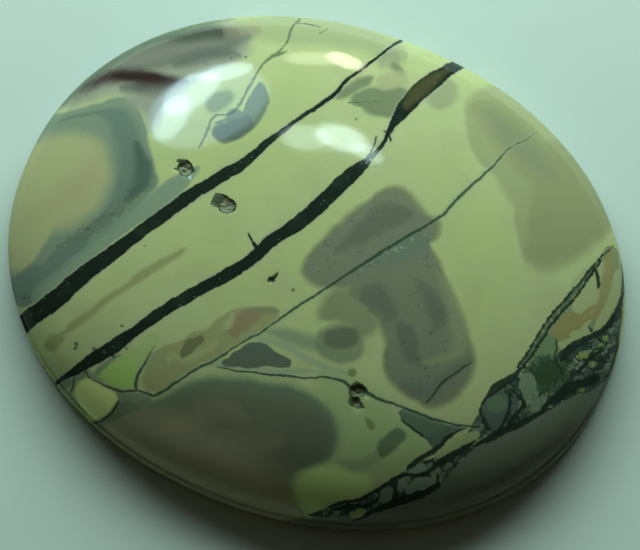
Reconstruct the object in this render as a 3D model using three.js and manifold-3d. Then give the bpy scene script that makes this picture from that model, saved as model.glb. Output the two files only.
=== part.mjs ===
// A polished oval cabochon of porcelain jasper, lying on its flat back.
// Millimetres, +Z up. The long axis lies along X, and the origin is the middle of the back.
// The stone is one solid: flat back, small bevel, upright girdle, low dome, and three open pits in the dome.

import * as THREE from 'three';
import { mergeVertices } from 'three/addons/utils/BufferGeometryUtils.js';
import Module from 'manifold-3d';

// Size of the stone
const LENGTH = 42;
const WIDTH = 35;
const THICKNESS = 7;

// Outline seen from above: 2 would be a plain ellipse, and a little more fills out the shoulders
const OUTLINE_POWER = 2.1;
const OUTLINE_STEPS = 120;

// Edge of the stone, from the back up to the foot of the dome
const BEVEL_HEIGHT = 0.4;
const BEVEL_SHARE = 0.025; // how far the bevel comes in, as a share of the outline
const GIRDLE_MIDDLE = 1.4;
const GIRDLE_TOP = 2.0;
const DOME_SHARE = 0.992; // the foot of the dome, as a share of the outline

// Dome: 0.5 would be half an ellipse, and a little more is leaner near the edge
const DOME_POWER = 0.55;
const DOME_RINGS = 15;
const RING_CROWDING = 1.6; // more puts more rings near the edge, where the dome turns down

// Natural pits that the polish has opened, each at its place on the dome
const PITS = [
  { x: -9.9, y: 1.1, length: 1.25, width: 1.0, depth: 0.4, turn: 1.9 },
  { x: -6.3, y: -0.4, length: 1.45, width: 1.1, depth: 0.35, turn: 1.2 },
  { x: 6.5, y: -9.2, length: 1.5, width: 0.9, depth: 0.45, turn: 1.8 },
];
const PIT_DETAIL = 1;

const STONE_COLOUR = 0xbfc48f;
const STONE_ROUGHNESS = 0.1;

// Distance from the middle to the outline, in the direction of an angle
function outlineRadius(angle) {
  const along = Math.abs(Math.cos(angle)) / (LENGTH / 2);
  const across = Math.abs(Math.sin(angle)) / (WIDTH / 2);
  return (along ** OUTLINE_POWER + across ** OUTLINE_POWER) ** (-1 / OUTLINE_POWER);
}

// Height of the dome where a point stands at this share of the way out to the dome's foot
function domeHeight(share) {
  return GIRDLE_TOP + (THICKNESS - GIRDLE_TOP) * (1 - share ** 2) ** DOME_POWER;
}

// Half section of the stone: shares of the outline against heights, from the back's middle to the top
function sectionPoints() {
  const points = [
    new THREE.Vector2(0, 0),
    new THREE.Vector2(1 - BEVEL_SHARE, 0),
    new THREE.Vector2(1, BEVEL_HEIGHT),
    new THREE.Vector2(1, GIRDLE_MIDDLE),
    new THREE.Vector2(DOME_SHARE, GIRDLE_TOP),
  ];
  for (let ring = 1; ring < DOME_RINGS; ring += 1) {
    const share = 1 - (ring / DOME_RINGS) ** RING_CROWDING;
    points.push(new THREE.Vector2(DOME_SHARE * share, domeHeight(share)));
  }
  points.push(new THREE.Vector2(0, THICKNESS));
  return points;
}

// The round section, turned, then drawn out from a unit circle to the stone's oval
function cabochonGeometry() {
  const geometry = new THREE.LatheGeometry(sectionPoints(), OUTLINE_STEPS);
  geometry.rotateX(Math.PI / 2);
  const position = geometry.getAttribute('position');
  for (let i = 0; i < position.count; i += 1) {
    const x = position.getX(i);
    const y = position.getY(i);
    const radius = outlineRadius(Math.atan2(y, x));
    position.setXY(i, x * radius, y * radius);
  }
  return geometry;
}

// A blunt, faceted hollow whose widest section lies on the dome
function pitGeometry(pit) {
  const geometry = new THREE.IcosahedronGeometry(1, PIT_DETAIL);
  geometry.scale(pit.length / 2, pit.width / 2, pit.depth);
  geometry.rotateZ(pit.turn);
  const share = Math.hypot(pit.x, pit.y) / (outlineRadius(Math.atan2(pit.y, pit.x)) * DOME_SHARE);
  geometry.translate(pit.x, pit.y, domeHeight(share));
  return geometry;
}

function toSolid(wasm, geometry) {
  geometry.deleteAttribute('normal');
  geometry.deleteAttribute('uv');
  const merged = mergeVertices(geometry, 1e-4);
  return new wasm.Manifold(new wasm.Mesh({
    numProp: 3,
    vertProperties: new Float32Array(merged.getAttribute('position').array),
    triVerts: new Uint32Array(merged.getIndex().array),
  }));
}

function toGeometry(solid) {
  const mesh = solid.getMesh();
  const geometry = new THREE.BufferGeometry();
  geometry.setAttribute('position', new THREE.BufferAttribute(mesh.vertProperties, 3));
  geometry.setIndex(new THREE.BufferAttribute(mesh.triVerts, 1));
  geometry.computeVertexNormals();
  return geometry;
}

const wasm = await Module();
wasm.setup();

let stone = toSolid(wasm, cabochonGeometry());
for (const pit of PITS) {
  stone = stone.subtract(toSolid(wasm, pitGeometry(pit)));
}

const material = new THREE.MeshStandardMaterial({
  color: STONE_COLOUR,
  roughness: STONE_ROUGHNESS,
  metalness: 0,
});
const cabochon = new THREE.Mesh(toGeometry(stone), material);
cabochon.name = 'cabochon';

const jasper = new THREE.Group();
jasper.add(cabochon);

export default jasper;
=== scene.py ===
# %% [markdown]
# # A polished porcelain jasper
#
# The object is one stone: an oval cabochon with a low dome, lying on its flat back. Its shape is quiet,
# and its looks are in the colour that runs through it: black bands, hair-fine veins, clouded patches and
# a broken, healed zone. This lesson makes a smooth mesh in the space of the measured solid, and then
# paints the markings with nodes, from curves that were read off a photograph.

# %% The measured solid is the fixed frame
import math

import bmesh
import bpy
from mathutils import Matrix, Vector, noise


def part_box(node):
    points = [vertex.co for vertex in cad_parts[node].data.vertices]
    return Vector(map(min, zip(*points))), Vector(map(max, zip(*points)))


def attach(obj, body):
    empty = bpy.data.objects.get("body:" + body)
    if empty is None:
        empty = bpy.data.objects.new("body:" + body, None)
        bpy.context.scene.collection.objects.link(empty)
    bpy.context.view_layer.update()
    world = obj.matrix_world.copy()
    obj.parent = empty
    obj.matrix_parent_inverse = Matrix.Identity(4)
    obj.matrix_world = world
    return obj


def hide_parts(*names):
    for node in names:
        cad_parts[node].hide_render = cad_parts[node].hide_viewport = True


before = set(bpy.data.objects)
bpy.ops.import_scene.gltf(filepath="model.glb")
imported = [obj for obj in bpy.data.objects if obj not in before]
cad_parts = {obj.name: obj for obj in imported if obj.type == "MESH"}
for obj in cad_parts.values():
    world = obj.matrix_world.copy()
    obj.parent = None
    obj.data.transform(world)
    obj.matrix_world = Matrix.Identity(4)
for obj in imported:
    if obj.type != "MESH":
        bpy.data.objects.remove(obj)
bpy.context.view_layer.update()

MM = 0.001
low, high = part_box("cabochon")
LENGTH = high.x - low.x
WIDTH = high.y - low.y
THICKNESS = high.z - low.z
print(f"the stone is {LENGTH / MM:.1f} by {WIDTH / MM:.1f} by {THICKNESS / MM:.1f} mm")

# %% [markdown]
# ## The stone's shape as a formula
#
# A cabochon is ground on a wheel against a template, so it has a rule: every level of the dome has the
# outline of the template, drawn smaller. One function gives the outline's radius in any direction, and
# another gives the dome's height from the share of the way out. The mesh, the camera work and the pits
# all ask these two.

# %% Outline and dome
OUTLINE_POWER = 2.1
GIRDLE_TOP = 2.0 * MM
DOME_SHARE = 0.992
DOME_POWER = 0.55


def outline_radius(x, y):
    """How far out the template's edge is, in the direction of x, y."""
    angle = math.atan2(y, x)
    along = abs(math.cos(angle)) / (LENGTH / 2)
    across = abs(math.sin(angle)) / (WIDTH / 2)
    return (along ** OUTLINE_POWER + across ** OUTLINE_POWER) ** (-1 / OUTLINE_POWER)


def dome_height(x, y):
    """Height of the polished dome over x, y. Outside its foot it stays at the girdle's top."""
    share = min(1.0, math.hypot(x, y) / (outline_radius(x, y) * DOME_SHARE))
    return GIRDLE_TOP + (THICKNESS - GIRDLE_TOP) * (1 - share * share) ** DOME_POWER


print(f"outline {outline_radius(1, 0) / MM:.1f} and {outline_radius(0, 1) / MM:.1f} mm from the middle")

# %% [markdown]
# ## The camera
#
# The photograph was taken from nearly above, a little from one long side, with a close-up lens. The
# camera's place was fitted to the stone's outline. It is also the tool that carries a point seen in the
# photograph down onto the dome, so it is made before the markings.

# %% Where the camera stands
PHOTO_WIDE = 640
PHOTO_HIGH = 550
CAMERA_TURN = math.radians(23.71)
CAMERA_OFF_VERTICAL = math.radians(22.0)
CAMERA_DISTANCE = 260 * MM
LENS_IN_PHOTO_PIXELS = 3912
SENSOR_WIDE = 36
AIM = Vector((0.78, -1.055, 3.0)) * MM

turn = Matrix.Rotation(CAMERA_TURN, 3, "Z")
to_camera = turn @ Vector((0, -math.sin(CAMERA_OFF_VERTICAL), math.cos(CAMERA_OFF_VERTICAL)))
to_right = turn @ Vector((1, 0, 0))
to_top = to_camera.cross(to_right)
eye = AIM + to_camera * CAMERA_DISTANCE

camera_data = bpy.data.cameras.new("close_up_camera")
camera_data.sensor_width = SENSOR_WIDE
camera_data.lens = LENS_IN_PHOTO_PIXELS / PHOTO_WIDE * SENSOR_WIDE
camera_data.clip_start = 0.01
camera_data.clip_end = 20
camera = bpy.data.objects.new("close_up_camera", camera_data)
bpy.context.scene.collection.objects.link(camera)
camera.matrix_world = Matrix((to_right, to_top, to_camera)).transposed().to_4x4()
camera.location = eye
bpy.context.scene.camera = camera
print(f"lens {camera_data.lens:.0f} mm, {math.degrees(CAMERA_OFF_VERTICAL):.0f} degrees off the vertical")

# %% [markdown]
# ## From the photograph down to the stone
#
# The markings are sheets that run down through the stone, so they show on the dome, on the girdle and
# again on the back. Here every sheet leans the same way, along the line of sight. A point is carried down
# that way to the level of the back, and this flat map, in millimetres, is where all markings are drawn.

# %% Carry a photo point to the map
HALVINGS = 40
CLEAR_OF_STONE = 1.1
LEAN = Vector((-to_camera.x / to_camera.z, -to_camera.y / to_camera.z))


def stone_point(px, py):
    """Where the line of sight through a photo point meets the dome, by halving the stretch it lies in."""
    tilt_right = (px - PHOTO_WIDE / 2) / LENS_IN_PHOTO_PIXELS
    tilt_up = (PHOTO_HIGH / 2 - py) / LENS_IN_PHOTO_PIXELS
    ray = to_right * tilt_right + to_top * tilt_up - to_camera
    near = (eye.z - THICKNESS * CLEAR_OF_STONE) / -ray.z
    far = (eye.z - GIRDLE_TOP) / -ray.z
    for _ in range(HALVINGS):
        middle = (near + far) / 2
        spot = eye + ray * middle
        if spot.z > dome_height(spot.x, spot.y):
            near = middle
        else:
            far = middle
    return eye + ray * far


def on_map(px, py):
    """A photo point on the flat map, in millimetres."""
    spot = stone_point(px, py)
    return (Vector((spot.x, spot.y)) + LEAN * spot.z) / MM


MEASURED_PIXELS = 20
left_mark = on_map(PHOTO_WIDE / 2 - MEASURED_PIXELS / 2, PHOTO_HIGH / 2)
right_mark = on_map(PHOTO_WIDE / 2 + MEASURED_PIXELS / 2, PHOTO_HIGH / 2)
PIXEL = (right_mark - left_mark).length / MEASURED_PIXELS
print(f"one photo pixel is {PIXEL:.4f} mm on the map")

# %% [markdown]
# ## The body of the stone
#
# The blank is turned: half of its section is spun round the middle, like a pot on a wheel, and the round
# blank is then drawn out to the oval. Turning gives clean rings that follow the girdle, and a mirror
# polish shows every flaw of a mesh, so the rings lie closest where the dome turns down.

# %% Turn the blank and draw it out
BEVEL_HEIGHT = 0.4 * MM
BEVEL_SHARE = 0.025
GIRDLE_MIDDLE = 1.4 * MM
TURN_STEPS = 256
DOME_RINGS = 46
RING_CROWDING = 1.6


def half_section():
    """Shares of the outline against heights, from the middle of the back to the top of the dome."""
    section = [(0, 0), (0.5, 0), (1 - BEVEL_SHARE, 0), (1, BEVEL_HEIGHT), (1, GIRDLE_MIDDLE)]
    for ring in range(DOME_RINGS + 1):
        share = 1 - (ring / DOME_RINGS) ** RING_CROWDING
        rise = (1 - share * share) ** DOME_POWER
        section.append((DOME_SHARE * share, GIRDLE_TOP + (THICKNESS - GIRDLE_TOP) * rise))
    return section


stone = bmesh.new()
corners = [stone.verts.new((share, 0, height)) for share, height in half_section()]
edges = [stone.edges.new(pair) for pair in zip(corners, corners[1:])]
bmesh.ops.spin(stone, geom=corners + edges, cent=(0, 0, 0), axis=(0, 0, 1), angle=math.tau,
               steps=TURN_STEPS, use_merge=True)
bmesh.ops.remove_doubles(stone, verts=stone.verts, dist=1e-6)
for vertex in stone.verts:
    radius = outline_radius(vertex.co.x, vertex.co.y)
    vertex.co.x *= radius
    vertex.co.y *= radius
print(f"{len(stone.verts)} corners in the blank")

# %% [markdown]
# The three corners of the girdle are eased with a file on the real stone, which leaves a thin rounded
# line that catches the light. A small bevel on those rings of edges does the same.

# %% Ease the edges of the girdle
EASED = 0.16 * MM
EASED_STEPS = 3
SAME_LEVEL = 1e-7
SAME_RING = 1e-4
OUTER_SHARE = 0.9


def share_out(vertex):
    """How far out a corner lies, as a share of the outline there."""
    return vertex.co.xy.length / outline_radius(vertex.co.x, vertex.co.y)


def ring_edges(height):
    """The level edges of the blank's outermost ring at this height."""
    level = [edge for edge in stone.edges
             if all(abs(v.co.z - height) < SAME_LEVEL and share_out(v) > OUTER_SHARE for v in edge.verts)]
    return [edge for edge in level if abs(share_out(edge.verts[0]) - share_out(edge.verts[1])) < SAME_RING]


rings = ring_edges(0) + ring_edges(BEVEL_HEIGHT) + ring_edges(GIRDLE_MIDDLE)
bmesh.ops.bevel(stone, geom=rings, offset=EASED, segments=EASED_STEPS, profile=0.5,
                affect="EDGES", material=-1)
bmesh.ops.recalc_face_normals(stone, faces=stone.faces)
print(f"{len(rings)} edges eased")

# %% [markdown]
# ## The pits
#
# Polishing opens small natural hollows. The stone has three that show, a millimetre or so across, one of
# them with a smaller hollow against it, and two pinholes. The mesh is cut finer around each one, set back
# on the dome's formula, and then pressed in: a sharp, uneven rim, steep sides and a rough floor. How far a
# point lies inside a pit is kept as an attribute for the finish, and how far it lies below the dome as one
# for the markings.

# %% Press in the pits
# photo point, length and width in mm, depth in mm, turn in degrees from the photo's x axis
PITS = [
    ((185.5, 168.5), 1.25, 1.08, 0.26, 60),
    ((226.5, 205.0), 1.35, 1.10, 0.22, 70),
    ((358.5, 391.0), 1.15, 0.85, 0.22, 10),
    ((356.5, 401.5), 0.70, 0.50, 0.20, 80),
    ((271.0, 280.0), 0.60, 0.40, 0.16, 20),
    ((293.0, 291.0), 0.45, 0.22, 0.10, 0),
]
RIM_WANDER = 0.22
RIM_WAVES = 1.3
RIM_CHIPS = 6
FLOOR_ROUGHNESS = 0.35
FLOOR_FACETS = 5
FLOOR_GRIT = 13
REFINE_REACH = 0.75
REFINE_ROUNDS = 2
REACH_STEP = 0.93


def share_across(pit, middle, point):
    """0 in the middle of a pit and 1 at its rim, which wanders in and out as broken stone does."""
    (px, py), length, width, depth, degrees = pit
    angle = CAMERA_TURN - math.radians(degrees)
    dx = (point.x - middle.x) / MM
    dy = (point.y - middle.y) / MM
    along = (dx * math.cos(angle) + dy * math.sin(angle)) / (length / 2)
    across = (dy * math.cos(angle) - dx * math.sin(angle)) / (width / 2)
    slow = noise.noise(Vector((along * RIM_WAVES, across * RIM_WAVES, px)))
    quick = noise.noise(Vector((dx * RIM_CHIPS, dy * RIM_CHIPS, py)))
    return math.hypot(along, across) * (1 + RIM_WANDER * (slow + quick / 2))


def refine_around(pit, middle):
    """Cuts the mesh finer near a pit and sets the new corners back on the dome."""
    reach = pit[1] * MM * REFINE_REACH
    for _ in range(REFINE_ROUNDS):
        near = [edge for edge in stone.edges
                if all((v.co - middle).length < reach for v in edge.verts)]
        cut = bmesh.ops.subdivide_edges(stone, edges=near, cuts=2, use_grid_fill=True)
        for item in cut["geom_inner"]:
            if isinstance(item, bmesh.types.BMVert):
                item.co.z = dome_height(item.co.x, item.co.y)
        reach *= REACH_STEP


pit_middles = [stone_point(*pit[0]) for pit in PITS]
for pit, middle in zip(PITS, pit_middles):
    refine_around(pit, middle)
pit_layer = stone.verts.layers.float.new("pit")
depth_layer = stone.verts.layers.float.new("below_dome")
for vertex in stone.verts:
    on_dome = dome_height(vertex.co.x, vertex.co.y)
    vertex[depth_layer] = max(0.0, on_dome - vertex.co.z) / MM
    if vertex.co.z < GIRDLE_TOP:
        continue
    for pit, middle in zip(PITS, pit_middles):
        if (vertex.co - middle).length > pit[1] * MM:
            continue
        across = share_across(pit, middle, vertex.co)
        if across < 1:
            wall = 1 - across ** 3
            spot = vertex.co / MM
            rough = noise.noise(spot * FLOOR_FACETS) + 0.6 * noise.noise(spot * FLOOR_GRIT)
            vertex[pit_layer] = max(vertex[pit_layer], wall)
            vertex.co.z -= pit[3] * MM * wall * (1 + FLOOR_ROUGHNESS * rough)
print(f"{len(stone.faces)} faces after the pits")

# %% The finished mesh takes the solid's place
for face in stone.faces:
    face.smooth = True
mesh = bpy.data.meshes.new("polished_stone")
stone.to_mesh(mesh)
stone.free()
polished_stone = bpy.data.objects.new("polished_stone", mesh)
bpy.context.scene.collection.objects.link(polished_stone)
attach(polished_stone, "root")
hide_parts("cabochon")

# %% [markdown]
# ## Tools for painting stone
#
# Every marking is drawn with the same idea: a node gives each point its distance to the marking's edge,
# less than zero inside, and a soft step turns the distance into a mask. A vein is a centre line and a
# width along its own length, and a patch is a radius round its own middle. Both are kept in Float Curve
# nodes, so an edge stays sharp at any zoom, and a few points read off the photograph are enough.

# %% Small node helpers
jasper = bpy.data.materials.new("polished_jasper")
jasper.use_nodes = True
tree = jasper.node_tree
tree.nodes.clear()


def feed(socket, value):
    """Links a socket to another, or sets it to a plain value."""
    if isinstance(value, bpy.types.NodeSocket):
        tree.links.new(value, socket)
    elif value is not None:
        socket.default_value = value


def node(kind, *inputs, **settings):
    """A new shader node with its settings made and its first inputs fed."""
    made = tree.nodes.new("ShaderNode" + kind)
    for name, value in settings.items():
        setattr(made, name, value)
    for socket, value in zip(made.inputs, inputs):
        feed(socket, value)
    return made


def sum_of(operation, *values):
    """The result of one step of arithmetic."""
    return node("Math", *values, operation=operation).outputs[0]


def dot(vector, direction):
    """How far a vector goes in a direction."""
    return node("VectorMath", vector, direction, operation="DOT_PRODUCT").outputs["Value"]


def tint(red, green, blue):
    """A screen colour, 0 to 255, as the light it stands for."""
    linear = [((c / 255 + 0.055) / 1.055) ** 2.4 if c > 10 else c / 255 / 12.92 for c in (red, green, blue)]
    return (*linear, 1.0)


def noise_node(scale, detail):
    """A noise on the stone itself, at so many waves to the millimetre."""
    made = node("TexNoise", place, noise_dimensions="3D")
    made.inputs["Scale"].default_value = scale / MM
    made.inputs["Detail"].default_value = detail
    return made


def cloud(scale, detail=3.0, rough=0.55, twist=0.0):
    """A soft noise with its middle at 0."""
    made = noise_node(scale, detail)
    made.inputs["Roughness"].default_value = rough
    made.inputs["Distortion"].default_value = twist
    return sum_of("SUBTRACT", made.outputs["Fac"], 0.5)


def step_inside(distance, soft, strength=1.0):
    """A mask: strength inside the edge, 0 outside, over a soft border so many mm wide."""
    # a smooth step keeps to its range by itself, so the node's own clamp stays off and saves memory
    made = node("MapRange", distance, -soft / 2, soft / 2, strength, 0.0,
                interpolation_type="SMOOTHSTEP", clamp=False)
    return made.outputs[0]


def lay_over(below, shade, mask):
    """Lays a shade over what is there, as far as the mask lets it."""
    made = node("Mix", data_type="RGBA", blend_type="MIX")
    feed(made.inputs[0], mask)
    feed(made.inputs[6], below)
    feed(made.inputs[7], shade)
    return made.outputs[2]


# %% The map that the markings are drawn on
WANDER = 0.10
FINE_WANDER = 0.035
DEEP_WANDER = 0.9

place = node("TexCoord").outputs["Object"]
to_mm = node("VectorMath", place, operation="SCALE")
to_mm.inputs["Scale"].default_value = 1 / MM
stone_mm = to_mm.outputs[0]
below_dome = node("Attribute", attribute_name="below_dome").outputs["Fac"]


def drift(scale, detail, amount):
    """A small push in a random direction, for lines that aren't ruler straight."""
    parts = node("SeparateColor", noise_node(scale, detail).outputs["Color"]).outputs
    push = node("CombineXYZ", parts[0], parts[1], parts[2]).outputs[0]
    centred = node("VectorMath", push, (0.5, 0.5, 0.5), operation="SUBTRACT").outputs[0]
    pushed = node("VectorMath", centred, operation="SCALE")
    feed(pushed.inputs["Scale"], amount)
    return pushed.outputs[0]


def vector_sum(a, b):
    """Two vectors, one after the other."""
    return node("VectorMath", a, b, operation="ADD").outputs[0]


deep = sum_of("MULTIPLY", below_dome, DEEP_WANDER)
moved = vector_sum(stone_mm, drift(0.9, 2, WANDER * 2))
moved = vector_sum(moved, drift(4.0, 3, FINE_WANDER * 2))
moved = vector_sum(moved, drift(0.16, 1, deep))
map_x = dot(moved, (1, 0, LEAN.x))
map_y = dot(moved, (0, 1, LEAN.y))
# the third number stays 1, so that one dot product can turn and shift the map together
chart = node("CombineXYZ", map_x, map_y, 1.0).outputs[0]

# %% Veins, bands and patches
CURVE_EDGE = 0.004
FAR_OUTSIDE = -1.5


def curve(where, knots):
    """A smooth line through the knots (0 to 1, value), as a node."""
    made = node("FloatCurve", 1.0, where)
    values = [value for _, value in knots]
    bottom, span = min(values), (max(values) - min(values)) or 1.0
    points = made.mapping.curves[0].points
    while len(points) < len(knots):
        points.new(0.5, 0.5)
    for point, (x, value) in zip(points, sorted(knots)):
        point.location = (x, (value - bottom) / span)
        point.handle_type = "AUTO_CLAMPED"
    made.mapping.update()
    return sum_of("MULTIPLY_ADD", made.outputs[0], span, bottom)


def run_through(spots):
    """How far along (0 to 1) and aside of a run of spots each point lies, and the run's own course."""
    start, end = spots[0], spots[-1]
    length = (end - start).length
    ahead = (end - start) / length
    aside = Vector((-ahead.y, ahead.x))
    along = dot(chart, (ahead.x / length, ahead.y / length, -ahead.dot(start) / length))
    across = dot(chart, (aside.x, aside.y, -aside.dot(start)))
    course = [((spot - start).dot(ahead) / length, (spot - start).dot(aside)) for spot in spots]
    return along, across, course


def away_from(spot):
    """Distance from one spot on the map."""
    return node("VectorMath", chart, (spot.x, spot.y, 1.0), operation="DISTANCE").outputs["Value"]


def vein(knots, open_ends=False):
    """Distance to the edge of a vein, from (photo x, photo y, half its width in photo pixels)."""
    along, across, course = run_through([on_map(px, py) for px, py, _ in knots])
    widths = [(x, half * PIXEL) for (x, _), (_, _, half) in zip(course, knots)]
    if not open_ends:
        widths = [(max(CURVE_EDGE, min(1 - CURVE_EDGE, x)), half) for x, half in widths]
        widths = [(0.0, FAR_OUTSIDE), *widths, (1.0, FAR_OUTSIDE)]
    off_centre = sum_of("ABSOLUTE", sum_of("SUBTRACT", across, curve(along, course)))
    return sum_of("SUBTRACT", off_centre, curve(along, widths))


def patch(knots):
    """Distance to the edge of a closed patch, from photo points that go round its middle."""
    spots = [on_map(px, py) for px, py in knots]
    middle = sum(spots, Vector((0, 0))) / len(spots)
    radius = away_from(middle)
    angle = sum_of("ARCTAN2", dot(chart, (0, 1, -middle.y)), dot(chart, (1, 0, -middle.x)))
    turned = sum_of("MULTIPLY_ADD", angle, 1 / math.tau, 0.5)
    arms = [spot - middle for spot in spots]
    around = sorted(((math.atan2(arm.y, arm.x) / math.tau + 0.5) % 1.0, arm.length) for arm in arms)
    before = (around[-1][0] - 1, around[-1][1])
    share = -before[0] / (around[0][0] - before[0])
    seam = before[1] + (around[0][1] - before[1]) * share
    return sum_of("SUBTRACT", radius, curve(turned, [(0.0, seam), *around, (1.0, seam)]))


def beyond(knots):
    """Distance to a line of photo points, less than zero to the left of its run."""
    along, across, course = run_through([on_map(px, py) for px, py in knots])
    return sum_of("SUBTRACT", curve(along, course), across)


def speck(px, py, radius):
    """Distance to the edge of a round dot, its radius in photo pixels."""
    return sum_of("SUBTRACT", away_from(on_map(px, py)), radius * PIXEL)


def specks(knots):
    """Distance to the nearest of several dots, each (photo x, photo y, radius in photo pixels)."""
    return nearest(*[speck(*knot) for knot in knots])


def nearest(*distances):
    """The distance to whichever marking is closest, so that several are laid over as one."""
    found = distances[0]
    for distance in distances[1:]:
        found = sum_of("MINIMUM", found, distance)
    return found


# %% [markdown]
# ## The ground colour
#
# Porcelain jasper is named for its ground: a smooth, fine-grained cream, like glazed china. It is nearly
# even. Broad clouds shift it a little from lemon to grey-green, and close up it has a very fine grain.
# Along the far rim the ground is painted a darker tan, as painted shade on the far slope.

# %% Cream ground
CREAM = tint(186, 199, 143)
LEMON = tint(184, 199, 134)
PALE_GREEN = tint(168, 190, 142)
BLUSH = tint(176, 184, 136)
FAR_RIM_SHADE = tint(160, 170, 130)
NEAR_GREEN = tint(158, 186, 128)

broad = cloud(0.11, 2)
middling = cloud(0.55, 4)
fine = cloud(3.2, 3)
grain = cloud(11.0, 2)


def ragged(distance, amount):
    """Moves an edge in and out by the middling cloud, so that it isn't smooth."""
    return sum_of("MULTIPLY_ADD", middling, amount, distance)


def frayed(distance, amount):
    """Moves an edge by the fine cloud, so that it looks crumbled."""
    return sum_of("MULTIPLY_ADD", fine, amount, distance)


def paint(below, shade, shape, soft, strength=1.0, rag=0.0):
    """Lays a shade inside a shape. Soft is the width of its border in mm, and rag how ragged it is."""
    edge = ragged(shape, rag) if rag else shape
    return lay_over(below, shade, step_inside(edge, soft, strength))


def painted(part):
    """Prints how far the painting has come."""
    print(f"{part}: {len(tree.nodes)} nodes in the jasper so far")


colour = paint(CREAM, LEMON, broad, 0.25, 0.8)
colour = paint(colour, PALE_GREEN, sum_of("ADD", middling, 0.08), 0.5, 0.4)
colour = paint(colour, BLUSH, sum_of("SUBTRACT", 0.10, cloud(0.30, 2)), 0.2, 0.45)
# painted shade: the ground along the far rim is made a darker tan, so that the far slope is dimmer
far_rim_shade = vein([(232, 26, 6), (262, 28, 16), (300, 28, 20), (340, 32, 18), (380, 44, 15), (408, 58, 6)])
colour = paint(colour, FAR_RIM_SHADE, far_rim_shade, 1.2, 0.8, 0.8)
near_green = vein([(318, 372, 6), (346, 400, 26), (372, 436, 34), (400, 452, 28), (430, 456, 8)])
colour = paint(colour, NEAR_GREEN, near_green, 1.6, 0.75, 0.8)
painted("cream ground")

# %% [markdown]
# ## The clouded left end
#
# Left of the upper band the ground is stained blue-grey, round a soft tan eye that reaches the rim. The
# stain is darkest where it stops, at a crisp edge, and a pale strip runs between it and the black band.
# Each layer is one patch or one wide vein, laid over the last, from the broadest to the narrowest.

# %% Blue-grey cloud with a tan eye
CLOUD_GREY = tint(124, 144, 123)
CLOUD_BLUE = tint(106, 127, 114)
CLOUD_DEEP = tint(72, 96, 86)
EYE_TAN = tint(172, 178, 130)
EYE_BLUSH = tint(170, 164, 126)
STRIP_GREEN = tint(128, 151, 130)
SPECKLED = tint(88, 106, 90)

left_cloud = patch([
    (14, 305), (-10, 240), (0, 170), (26, 128), (50, 116), (74, 110), (98, 103), (114, 98), (128, 98),
    (138, 108), (146, 128), (150, 148), (154, 168), (158, 180), (148, 197), (132, 213), (112, 231),
    (90, 249), (66, 268), (44, 288)])
colour = paint(colour, CLOUD_GREY, left_cloud, 0.35, 0.97, 0.15)
pale_eye = patch([
    (-8, 262), (-8, 200), (10, 160), (36, 142), (60, 134), (84, 135), (99, 142), (107, 156), (109, 175),
    (104, 196), (94, 211), (80, 221), (60, 228), (46, 242), (36, 258), (16, 272)])
cloud_ring = vein([
    (36, 131, 2), (58, 121, 6), (84, 115, 8), (106, 112, 10), (121, 122, 12), (128, 142, 13),
    (130, 165, 12), (125, 186, 11), (112, 205, 8), (98, 220, 5), (84, 230, 2)])
colour = paint(colour, CLOUD_BLUE, cloud_ring, 0.9, 0.9, 0.3)
colour = paint(colour, EYE_TAN, pale_eye, 1.5, 0.97, 0.6)
blush = vein([
    (24, 226, 3), (40, 214, 8), (62, 200, 10), (82, 182, 13), (94, 166, 11), (98, 150, 6), (98, 142, 2)])
colour = paint(colour, EYE_BLUSH, blush, 1.5, 0.6, 1.0)
cloud_foot = patch([
    (18, 304), (10, 286), (24, 270), (44, 266), (60, 248), (78, 238), (88, 240), (68, 260), (50, 278),
    (36, 298)])
deep_edge = vein([(137, 140, 1), (141, 156, 6), (144, 169, 9), (142, 181, 9), (134, 192, 7), (124, 203, 1)])
colour = paint(colour, CLOUD_BLUE, cloud_foot, 0.8, 0.85, 0.5)
colour = paint(colour, CLOUD_DEEP, deep_edge, 0.8, 0.85, 0.3)
speckled = vein([
    (148, 181, 1), (137, 193, 4), (124, 204, 5), (111, 215, 5.5), (98, 225, 5.5), (84, 233, 5),
    (68, 241, 3), (56, 248, 1)])
speckled = frayed(speckled, 1.3)
colour = paint(colour, SPECKLED, speckled, 0.5, 0.55)
pale_strip = vein([
    (200, 166, 1), (183, 180, 8), (166, 194, 11), (148, 208, 10), (131, 221, 8), (114, 234, 7),
    (97, 247, 7), (80, 260, 7), (62, 274, 7), (44, 289, 7), (32, 302, 5)])
colour = paint(colour, STRIP_GREEN, pale_strip, 0.30, 0.9)
painted("left end")

# %% [markdown]
# Above the cloud the far rim is streaked: thin layers of mauve, pink, dark green and maroon follow the
# rim, and they fade into one another. They are long veins with soft, ragged edges, the widest first.

# %% Streaks along the top rim
RIM_GREEN = tint(84, 106, 82)
RIM_DARK = tint(74, 83, 70)
RIM_PINK = tint(142, 142, 118)
MAUVE_STREAK = tint(110, 117, 105)
LIGHT_STREAK = tint(124, 127, 117)
SMOKE_STREAK = tint(100, 110, 101)
MAROON = tint(70, 57, 54)
MAROON_HEART = tint(46, 35, 34)
MAROON_FOOT = tint(90, 96, 90)
MAUVE_CREAM = tint(147, 154, 138)

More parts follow.
